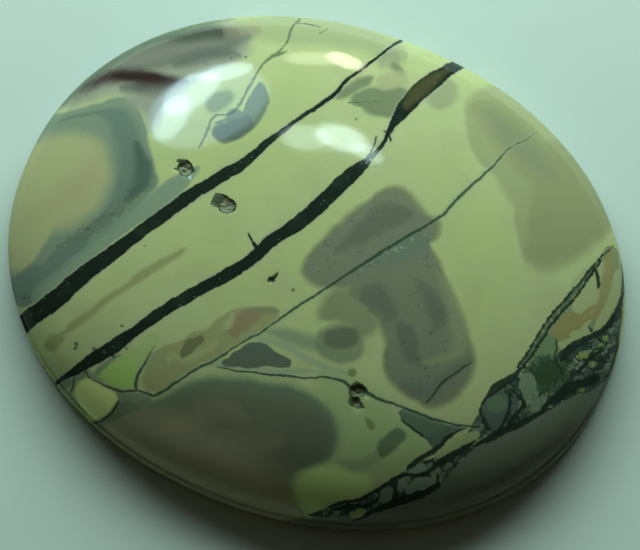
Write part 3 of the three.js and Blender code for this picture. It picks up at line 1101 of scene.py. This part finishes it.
double_vein = vein([
    (600, 258, 1), (594, 268, 2.4), (586, 279, 2.8), (577, 290, 3.4), (568, 301, 3.6), (558, 312, 3.6),
    (550, 322, 3.6), (543, 333, 3.6), (535, 346, 3.2), (527, 358, 3.0), (518, 370, 2.0)])
vein_filler = frayed(sum_of("ADD", double_vein, 0.05), 0.9)
colour = paint(colour, VEIN_GREEN, vein_filler, 0.3, 0.9)
vein_walls = sum_of("ABSOLUTE", sum_of("ADD", frayed(double_vein, 0.08), 0.03))
vein_walls = sum_of("SUBTRACT", vein_walls, 0.09)
cement_lines = nearest(
    vein_walls,
    vein([(614, 245, 0.4), (606, 253, 0.9), (600, 258, 1.0), (595, 264, 1.2), (594, 270, 1.8),
          (590, 276, 1.6), (584, 281, 1.0)]),
    vein([(521, 367, 1.0), (516, 374, 3.0), (508, 380, 5.5), (498, 386, 5.5), (491, 393, 3.0),
          (485, 401, 1.6), (481, 409, 1.6), (484, 418, 1.2), (488, 428, 1.2), (491, 434, 0.6)]),
    vein([(618, 248, 0.4), (622, 262, 1.0), (623, 280, 1.4), (621, 298, 1.6), (617, 311, 2.4),
          (611, 321, 2.8), (604, 329, 3.4), (595, 335, 4.0), (584, 340, 4.4), (574, 346, 5.0),
          (566, 354, 4.0), (560, 362, 1.0)]),
    vein([(600, 374, 2), (590, 381, 5), (578, 384, 5), (569, 388, 6), (561, 395, 6), (551, 402, 3.0),
          (544, 408, 2.6), (537, 415, 2.8), (528, 420, 3.4), (518, 425, 4.4), (506, 430, 4.2),
          (494, 436, 4.0), (484, 441, 2.6), (474, 446, 1.0)]),
    vein([(594, 266, 0.8), (597, 274, 2.0), (599, 282, 2.0), (598, 289, 0.6)]),
    vein([(556, 338, 0.6), (556, 349, 1.0), (555, 358, 1.0), (559, 367, 1.0), (564, 374, 0.6)]),
    vein([(506, 390, 1.0), (510, 398, 1.6), (509, 408, 1.6), (505, 420, 1.8), (498, 431, 2.0)]),
    vein([(512, 391, 1.0), (520, 397, 1.6), (524, 404, 2.6), (519, 411, 2.4), (513, 418, 2.4),
          (508, 426, 1.6)]),
    vein([(588, 326, 0.4), (592, 332, 1.4)]),
    vein([(576, 374, 1.4), (584, 366, 2.2), (592, 357, 1.8), (602, 350, 1.2)]),
    vein([(468, 428, 0.6), (456, 432, 1.4), (448, 437, 2.0), (441, 445, 2.6), (432, 452, 3.0),
          (422, 458, 3.2), (413, 464, 2.6), (407, 471, 1.4)]),
    vein([(476, 441, 0.6), (466, 447, 2.6), (456, 453, 3.8), (446, 459, 4.0), (436, 465, 3.0),
          (426, 473, 2.2), (412, 475, 2.0), (400, 477, 1.8), (388, 483, 1.8), (376, 491, 1.8),
          (362, 498, 1.8), (346, 502, 1.8), (334, 505, 1.6), (324, 511, 0.6)]),
    vein([(440, 475, 0.6), (446, 479, 2.0), (438, 485, 3.0), (428, 491, 3.6), (418, 496, 4.0),
          (406, 499, 5.0), (394, 503, 4.4), (382, 508, 3.6), (372, 512, 3.2), (362, 518, 1.6),
          (352, 521, 0.6)]),
    vein([(398, 478, 0.6), (396, 486, 1.2), (395, 496, 2.0), (392, 502, 1.4)]),
    vein([(380, 490, 0.6), (378, 498, 1.4), (370, 505, 1.6), (358, 506, 2.6), (346, 507, 2.6),
          (334, 510, 1.4)]),
    vein([(400, 419, 0.5), (408, 425, 1.4), (415, 430, 1.2), (424, 437, 0.6)]))
cement_lines = frayed(cement_lines, 0.20)
colour = paint(colour, CEMENT, cement_lines, 0.10, 0.96)
painted("cement lines")

# %% [markdown]
# ## Hair-fine veins
#
# Cracks that healed with dark clay: one long vein crosses the middle of the stone, another bends through
# a dark knot, and short branches close the cells at the left tip. They are drawn as veins a tenth of a
# millimetre wide, and a fine cloud thins them here and there.

# %% Dark threads
THREAD = tint(52, 76, 58)
HAIRLINE = tint(72, 96, 74)
KNOT = tint(64, 80, 48)

hairlines = nearest(
    vein([(301, 18, 0.8), (294, 25, 1.3), (289, 36, 1.2), (284, 47, 1.0), (278, 53, 1.6), (270, 58, 2.0),
          (263, 65, 1.2), (257, 73, 1.1), (250, 85, 1.3), (243, 98, 1.3), (237, 108, 1.5), (231, 113, 1.4),
          (220, 115, 1.5), (213, 118, 1.4), (209, 126, 1.4), (204, 137, 1.3), (199, 149, 0.5)]),
    vein([(268, 57, 0), (276, 55, 2.0), (288, 52, 0)]),
    vein([(296, 23, 0.6), (308, 24, 1.0), (322, 28, 0.4)]),
    vein([(350, 103, 0.4), (366, 102, 0.5), (382, 101, 0.3)]),
    vein([(318, 35, 0.5), (328, 29, 0.6)]),
    vein([(30, 297, 0.8), (20, 298, 0.8)]))
hairlines = frayed(hairlines, 0.22)
colour = paint(colour, HAIRLINE, hairlines, 0.12, 0.75)
threads = nearest(
    vein([(538, 131, 0), (527, 139, 0.5), (512, 147, 0.6), (500, 158, 1.0), (488, 171, 1.2),
          (472, 185, 1.4), (460, 196, 1.5), (450, 207, 1.4), (441, 216, 1.6), (432, 222, 1.3),
          (420, 229, 1.5), (400, 241, 1.6), (380, 253, 1.7), (357, 268, 1.5), (340, 279, 1.3),
          (319, 293, 1.2), (300, 305, 1.3), (280, 319, 1.1), (262, 332, 1.0), (250, 338, 1.0),
          (242, 343, 0.8)]),
    vein([(246, 340, 0.4), (232, 349, 1.0), (221, 357, 1.2), (206, 364, 1.2), (198, 368, 1.4),
          (186, 376, 1.1), (172, 385, 1.6), (162, 392, 1.6), (152, 396, 1.6)]),
    vein([(154, 396, 1.4), (143, 392, 1.1), (129, 391, 1.3), (116, 390, 1.5), (104, 385, 1.2),
          (92, 379, 0.8), (85, 368, 0.4)]),
    vein([(216, 367, 0.5), (232, 370, 1.0), (249, 372, 1.0), (284, 376, 1.2), (312, 378, 1.1),
          (335, 379, 1.3), (344, 382, 1.9), (352, 388, 2.2), (360, 391, 2.2), (368, 394, 2.4),
          (380, 400, 1.5), (396, 405, 1.2), (410, 410, 1.2), (424, 415, 1.3), (436, 420, 1.4),
          (452, 424, 1.2), (470, 426, 1.3), (482, 426, 1.2)]),
    vein([(136, 391, 1.4), (136, 382, 1.6), (139, 373, 1.4), (145, 363, 1.3), (151, 352, 0.6),
          (155, 346, 0)]),
    vein([(119, 400, 0.8), (113, 411, 1.5), (106, 418, 1.6), (97, 423, 1.2), (88, 424, 0.8)]),
    vein([(75, 376, 0.6), (73, 386, 0.9), (69, 396, 0.5)]),
    vein([(425, 404, 0.8), (434, 394, 1.1), (443, 382, 1.2), (458, 371, 1.2), (472, 362, 0.5)]))
threads = frayed(threads, 0.10)
thread_glow = step_inside(sum_of("SUBTRACT", threads, 0.14), 0.3, 0.35)
outside_mauve = step_inside(sum_of("SUBTRACT", 0.0, mauve_shape), 0.4)
colour = lay_over(colour, TISSUE, sum_of("MULTIPLY", thread_glow, outside_mauve))
colour = paint(colour, THREAD, threads, 0.09, 0.9)
knot = nearest(
    patch([(350, 387), (356, 382), (363, 384), (368, 390), (366, 395), (360, 397), (352, 398)]),
    patch([(349, 403), (351, 397), (359, 397), (361, 402), (356, 407)]))
colour = paint(colour, KNOT, knot, 0.15, 0.92, 0.12)
painted("threads")

# %% [markdown]
# ## The two black bands
#
# The bands are the strongest marking. The upper one thins from 1.2 mm to a thread. The lower one is
# pinched in the middle of its run, where it frays into splinters with bright specks, and swells again
# round a brown core. The ground beside them is bleached to a thin pale halo.

# %% Black bands
BLACK = tint(30, 43, 34)
BAND_GREEN = tint(46, 63, 50)
BAND_BROWN = tint(78, 80, 52)
HALO = tint(166, 176, 156)

upper_band = vein([
    (10, 334, 9), (28, 320, 10), (53, 301.5, 10), (89, 270.5, 8.5), (115, 251.5, 7.7), (140, 232.5, 6.6),
    (160, 218, 7.2), (183, 200.5, 7.2), (204, 187.5, 6.4), (228, 172.5, 6.8), (244, 163, 5.8),
    (270, 140.5, 3.8), (298, 119.5, 2.4), (326, 101, 2.4), (347, 80, 1.8), (370, 63, 1.5), (385, 51, 1.3),
    (400, 41, 1.8), (420, 30, 2.4)], open_ends=True)
lower_band = vein([
    (50, 388, 1.5), (57, 382.5, 2), (76, 370.5, 4.6), (91, 360.5, 6.6), (115, 345.5, 7.4), (135, 331, 6),
    (160, 313.5, 6.2), (185, 298, 6.5), (200, 289.5, 6.2), (228, 274.5, 7), (256, 255.5, 6.4),
    (270, 242, 6.6), (298, 223.5, 7.5), (326, 199, 8), (347, 178.5, 8), (360, 167.5, 6.2), (372, 156, 3.2),
    (382, 145, 2.2), (389, 132, 3.2), (397, 118, 5.6), (411, 101, 9), (426, 86, 9.5), (441, 75, 8),
    (455, 66, 7), (475, 54, 6)], open_ends=True)
spurs = nearest(
    vein([(257, 248, 1.6), (252, 241, 1.3), (248, 233, 0.3)]),
    vein([(364, 162, 1.2), (372, 150, 0.9), (377, 136, 0.2)]),
    vein([(374, 158, 1.0), (380, 148, 0.8), (386, 140, 0.3)]),
    vein([(384, 130, 0.4), (389, 136, 1.2), (391, 142, 0.4)]))
bands = nearest(upper_band, lower_band, spurs)
halo_strength = step_inside(sum_of("SUBTRACT", 0.02, middling), 0.35, 0.75)
halo = step_inside(sum_of("SUBTRACT", bands, 0.13), 0.24)
colour = lay_over(colour, HALO, sum_of("MULTIPLY", halo, halo_strength))
bands = frayed(bands, 0.15)
band_mask = step_inside(bands, 0.09)
band_shade = paint(BLACK, BAND_GREEN, sum_of("ADD", middling, 0.12), 0.3, 0.7)
brown_core = vein([(404, 110, 0), (412, 98, 6), (425, 86, 8), (436, 77, 6), (450, 69, 0)])
band_shade = paint(band_shade, BAND_BROWN, brown_core, 0.5, 0.9, 0.3)
colour = lay_over(colour, band_shade, band_mask)
painted("bands")

# %% [markdown]
# Last come the specks: dark ones near the bands, placed one by one, and pale flecks inside the bands. The
# flecks are cells of a Voronoi texture, of which only a few are kept.

# %% Fine specks
SPECK_PALE = tint(150, 172, 150)
SPECK_DARK = tint(72, 92, 74)
FLECKS_PER_MM = 3.2
FLECK_SHARE = 0.07
FLECK_RADIUS = 0.14

dark_specks = specks([
    (145, 246, 1.2), (122, 326, 1.5), (94, 349, 2.2), (76, 344, 2.2), (75, 348, 2.0), (127, 349, 1.6),
    (114, 357, 1.8), (293, 290, 1.6), (349, 103, 1.2), (357, 119, 1.0), (231, 58, 1.2), (246, 57, 1.6),
    (104, 352, 1.8), (86, 372, 2.0), (112, 214, 1.4), (88, 229, 1.8)])
colour = paint(colour, SPECK_DARK, frayed(dark_specks, 0.2), 0.12, 0.8)
flecks = node("TexVoronoi", chart, None, FLECKS_PER_MM, voronoi_dimensions="2D", feature="F1")
fleck_here = sum_of("LESS_THAN", node("SeparateColor", flecks.outputs["Color"]).outputs[1], FLECK_SHARE)
fleck = step_inside(sum_of("SUBTRACT", flecks.outputs["Distance"], FLECK_RADIUS), FLECK_RADIUS)
fleck = sum_of("MULTIPLY", sum_of("MULTIPLY", fleck_here, fleck), step_inside(bands, 0.2, 0.4))
colour = lay_over(colour, SPECK_PALE, fleck)
splinter_specks = specks([
    (366, 163, 1.0), (371, 160, 1.1), (375, 166, 1.3), (369, 168, 0.9), (379, 158, 0.8)])
colour = paint(colour, HALO, splinter_specks, 0.1, 0.8)
painted("specks")

# %% [markdown]
# ## Polish, ground edge and pits
#
# The dome has a mirror polish with the faintest waviness. The girdle and the back were only ground, so
# they are duller, and a pit is broken stone and rough, painted darker near its rim and paler in its middle.
# The height of a point tells the first two apart: the finish turns from ground to polished over the foot of
# the dome, and the mirror's strength grows more slowly, up to the shoulder. The attribute that was kept
# with the mesh marks the pits.

# %% Finish
PIT_DARK = tint(74, 90, 62)
PIT_PALE = tint(150, 160, 128)
POLISHED = 0.07
GROUND = 0.42
PIT_ROUGH = 0.38
POLISH_STARTS = 2.0
POLISH_FULL = 3.4
GIRDLE_SHINE = 0.04
DOME_SHINE = 0.5
SHINE_STARTS = 2.2
SHINE_FULL = 4.8
GRAIN_SHARE = 0.05
WAVE_HEIGHT = 0.004 * MM
FACET_HEIGHT = 0.06 * MM
STONE_IOR = 1.54

pit = node("Attribute", attribute_name="pit").outputs["Fac"]
pit_mask = step_inside(sum_of("SUBTRACT", 0.03, pit), 0.06)
# each pit is painted darker near its rim and paler in its middle
pit_shade = paint(PIT_DARK, PIT_PALE, sum_of("SUBTRACT", 0.62, sum_of("ADD", pit, fine)), 0.5, 0.75)
colour = lay_over(colour, pit_shade, pit_mask)
lift = sum_of("MULTIPLY_ADD", grain, GRAIN_SHARE * 2, 1.0)
grained = node("VectorMath", colour, None, operation="SCALE")
feed(grained.inputs["Scale"], lift)

height = node("SeparateXYZ", stone_mm).outputs[2]
roughness = node("MapRange", height, POLISH_STARTS, POLISH_FULL, GROUND, POLISHED,
                 interpolation_type="SMOOTHSTEP").outputs[0]
roughness = sum_of("MULTIPLY_ADD", middling, 0.02, roughness)
roughness = node("MapRange", pit_mask, 0.0, 1.0, roughness, PIT_ROUGH).outputs[0]

waviness = node("Bump", 0.5, WAVE_HEIGHT)
feed(waviness.inputs["Height"], cloud(1.4, 2))
pitting = node("Bump", pit_mask, FACET_HEIGHT)
feed(pitting.inputs["Height"], cloud(7.0, 4, 0.7))
feed(pitting.inputs["Normal"], waviness.outputs[0])

finish = node("BsdfPrincipled")
feed(finish.inputs["Base Color"], grained.outputs[0])
feed(finish.inputs["Roughness"], roughness)
shine = node("MapRange", height, SHINE_STARTS, SHINE_FULL, GIRDLE_SHINE, DOME_SHINE,
             interpolation_type="SMOOTHSTEP").outputs[0]
feed(finish.inputs["Specular IOR Level"], shine)
feed(finish.inputs["Normal"], pitting.outputs[0])
finish.inputs["IOR"].default_value = STONE_IOR
node("OutputMaterial", finish.outputs[0])
polished_stone.data.materials.append(jasper)
print(f"{len(tree.nodes)} nodes in the jasper")

# %% [markdown]
# ## Floor and light
#
# A plain pale surface, and daylight from the far side. One broad lamp does the lighting: it stands near,
# so the floor and the stone grow darker towards the camera, and it is kept out of reflections. The dome
# is a mirror, and what it mirrors are small, bright lamps. Each of those is placed by a photo point: the
# line of sight is bounced off the dome there, and the lamp goes where it leads.

# %% Floor
FLOOR_SIZE = 3.0
FLOOR_GAP = 0.02 * MM
FLOOR_PALE = tint(203, 225, 220)
FLOOR_ROUGH = 0.85

floor_mesh = bmesh.new()
bmesh.ops.create_grid(floor_mesh, x_segments=2, y_segments=2, size=FLOOR_SIZE / 2)
floor_data = bpy.data.meshes.new("floor")
floor_mesh.to_mesh(floor_data)
floor_mesh.free()
floor = bpy.data.objects.new("floor", floor_data)
floor.location.z = -FLOOR_GAP
bpy.context.scene.collection.objects.link(floor)
floor_paint = bpy.data.materials.new("pale_floor")
floor_paint.use_nodes = True
floor_shader = floor_paint.node_tree.nodes["Principled BSDF"]
floor_shader.inputs["Base Color"].default_value = FLOOR_PALE
floor_shader.inputs["Roughness"].default_value = FLOOR_ROUGH
floor_data.materials.append(floor_paint)

# %% Daylight
DAYLIGHT_DISTANCE = 158 * MM
DAYLIGHT_SIZE = (256 * MM, 74 * MM)
DAYLIGHT_ELEVATION = 34
DAYLIGHT_BRIGHTNESS = 7.1
DAYLIGHT = (0.84, 1.0, 0.92)


def add_lamp(name, shape, place, aim, sizes, brightness, colour):
    """A flat lamp at a place, turned to an aim. Its brightness is that of its surface."""
    data = bpy.data.lights.new(name, "AREA")
    data.shape = shape
    data.size, data.size_y = sizes
    area = sizes[0] * sizes[1] * (math.pi / 4 if shape == "ELLIPSE" else 1)
    data.energy = brightness * math.pi * area
    data.color = colour
    made = bpy.data.objects.new(name, data)
    facing = (place - aim).to_track_quat("Z", "Y").to_matrix().to_4x4()
    made.matrix_world = Matrix.Translation(place) @ facing
    bpy.context.scene.collection.objects.link(made)
    return made


def skyward(azimuth, elevation):
    """A direction, from degrees right of straight ahead of the camera and degrees up."""
    a = math.radians(azimuth)
    e = math.radians(elevation)
    return turn @ Vector((math.sin(a) * math.cos(e), math.cos(a) * math.cos(e), math.sin(e)))


daylight_place = AIM + skyward(0, DAYLIGHT_ELEVATION) * DAYLIGHT_DISTANCE
daylight = add_lamp("daylight", "RECTANGLE", daylight_place, AIM, DAYLIGHT_SIZE, DAYLIGHT_BRIGHTNESS,
                    DAYLIGHT)
daylight.visible_glossy = False

# %% Lamps that the dome mirrors
GLINT_DISTANCE = 260 * MM
SLOPE_STEP = 0.05 * MM


def dome_normal(x, y):
    """Which way the polished dome faces over x, y."""
    rise_x = dome_height(x + SLOPE_STEP, y) - dome_height(x - SLOPE_STEP, y)
    rise_y = dome_height(x, y + SLOPE_STEP) - dome_height(x, y - SLOPE_STEP)
    return Vector((-rise_x, -rise_y, 2 * SLOPE_STEP)).normalized()


def mirrored(px, py):
    """Where the line of sight through a photo point goes when the dome throws it back."""
    spot = stone_point(px, py)
    sight = (spot - eye).normalized()
    bounced = sight.reflect(dome_normal(spot.x, spot.y))
    return spot, spot + bounced * GLINT_DISTANCE


def glint(name, px, py, long, wide, degrees, brightness, colour):
    """A lamp whose mirror image is an ellipse in the photo, so many pixels long and wide."""
    spot, place = mirrored(px, py)
    angle = math.radians(degrees)
    step = Vector((math.cos(angle), -math.sin(angle))) * long / 2
    end = mirrored(px + step.x, py + step.y)[1]
    side = mirrored(px + step.y * wide / long, py - step.x * wide / long)[1]
    lamp = add_lamp(name, "ELLIPSE", place, spot, (2 * (end - place).length, 2 * (side - place).length),
                    brightness, colour)
    ahead = lamp.matrix_world.to_3x3().inverted() @ (end - place)
    lamp.matrix_world = lamp.matrix_world @ Matrix.Rotation(math.atan2(ahead.y, ahead.x), 4, "Z")
    lamp.visible_diffuse = False
    print(f"{name}: {lamp.data.size / MM:.0f} by {lamp.data.size_y / MM:.0f} mm")
    return lamp


WINDOW = (0.74, 1.0, 0.96)
SKY = (0.66, 0.92, 1.05)
SKY_VEIL = (0.54, 0.82, 1.02)
WARM = (1.0, 0.96, 0.72)
# name, photo point, length and width in photo pixels, turn in degrees, brightness, colour
GLINTS = [
    ("window_foot", 171, 116, 46, 24, 66, 7.0, SKY),
    ("window_shoulder", 190, 91, 54, 24, 46, 7.2, SKY),
    ("window_tip", 226, 71, 50, 14, 18, 7.0, SKY),
    ("window_veil", 204, 100, 94, 58, 46, 3.3, SKY_VEIL),
    ("upper_window", 341, 137, 44, 26, -40, 10.0, WINDOW),
    ("upper_window_left", 305, 137, 46, 24, 8, 5.0, WINDOW),
    ("upper_window_corner", 367, 153, 28, 14, -40, 7.0, WINDOW),
    ("warm_lamp", 345, 60, 34, 13, -12, 10.0, WARM),
    ("warm_lamp_end", 312, 58, 44, 10, 5, 4.0, WARM),
]
for row in GLINTS:
    glint(*row)

# %% [markdown]
# The rest of the room is dim. It is a little lighter on the far side, which gives the dome a soft sheen
# where no lamp is mirrored.

# %% The dim room
ROOM_FAR = (0.045, 0.055, 0.050, 1)
ROOM_NEAR = (0.030, 0.023, 0.0125, 1)
ROOM_TURNS = (-0.35, 0.8)

room = bpy.data.worlds.new("room")
room.use_nodes = True
tree = room.node_tree
tree.nodes.clear()
sky = node("TexCoord").outputs["Generated"]
ahead = -to_camera
towards_far = dot(sky, tuple(Vector((ahead.x, ahead.y, 0)).normalized()))
room_light = node("MapRange", towards_far, *ROOM_TURNS, 0.0, 1.0,
                  interpolation_type="SMOOTHSTEP").outputs[0]
background = node("Background", lay_over(ROOM_NEAR, ROOM_FAR, room_light))
node("OutputWorld", background.outputs[0])
bpy.context.scene.world = room
bpy.context.scene.view_settings.view_transform = "Standard"
